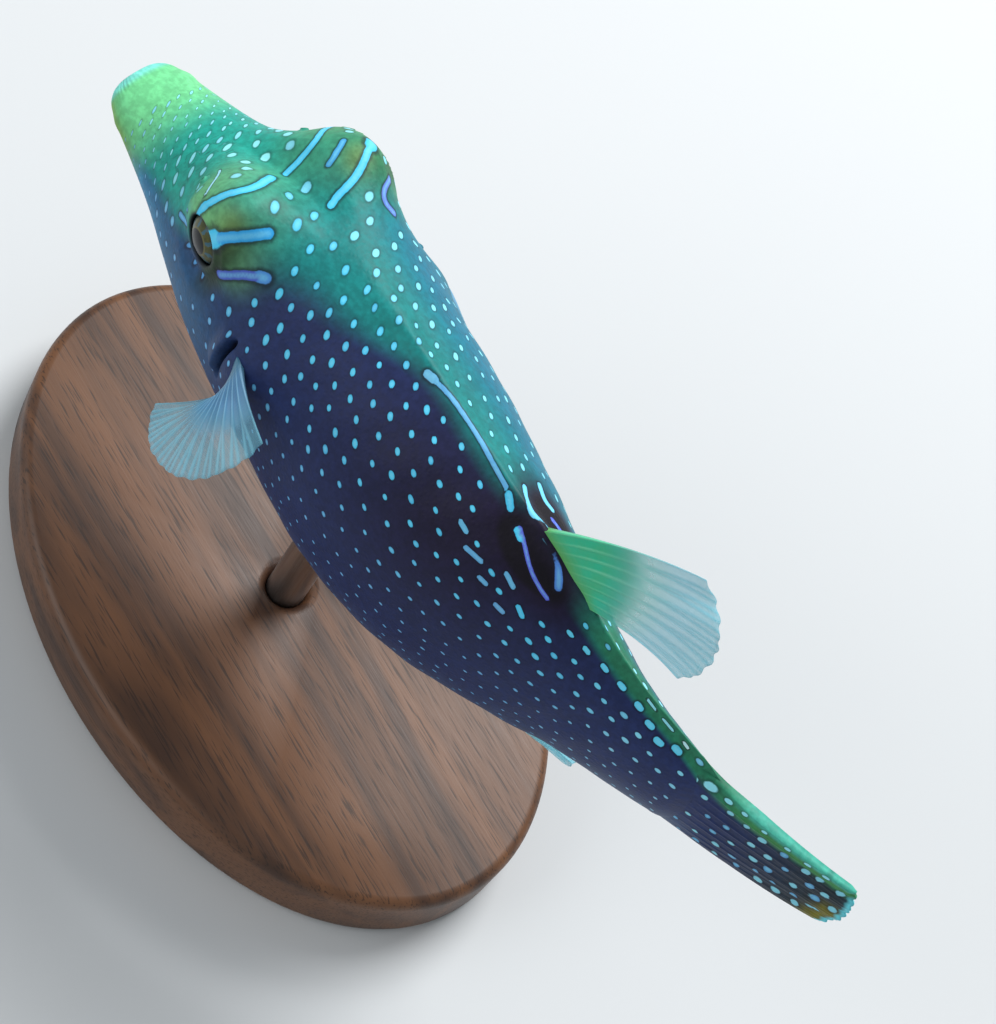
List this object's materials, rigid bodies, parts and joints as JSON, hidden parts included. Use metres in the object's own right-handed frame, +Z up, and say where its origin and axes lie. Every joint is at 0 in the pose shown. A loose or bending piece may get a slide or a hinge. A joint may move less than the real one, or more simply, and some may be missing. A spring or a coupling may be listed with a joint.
{
  "type": "false-eye puffer model on a display stand",
  "caption": "Life-size display model of a small reef puffer, its tail swung to one side, held over an oval base by a short rod.",
  "frame": {"origin": "centre of the stand base's underside, on the floor", "axes": "+Z up, +X from the snout towards the tail, -Y to the fish's left"},
  "size_m": [0.0989, 0.046, 0.0654],
  "materials": {
    "skin_head": "damp skin, yellow-green to teal with pale spots",
    "skin_torso": "damp skin, dark flank with rows of pale blue spots",
    "skin_tail": "damp skin, green above and dark below with pale blue spots",
    "caudal_fin": "folded fin, dark with pale spots and an olive end",
    "median_fins": "clear greenish membrane on fine rays",
    "pectoral_fins": "clear bluish membrane on fine rays",
    "eyes": "wet, clear",
    "beak": "smooth enamel",
    "stand_wood": "oiled walnut",
    "stand_steel": "brushed"
  },
  "bodies": {
    "root": {"head": "skin_head", "torso": "skin_torso", "tail_peduncle": "skin_tail", "caudal_fin": "caudal_fin", "dorsal_fin": "median_fins", "anal_fin": "median_fins", "pectoral_fin_left": "pectoral_fins", "pectoral_fin_right": "pectoral_fins", "eye_left": "eyes", "eye_right": "eyes", "beak_upper": "beak", "beak_lower": "beak", "stand_base": "stand_wood", "stand_rod": "stand_steel"}
  },
  "joints": []
}
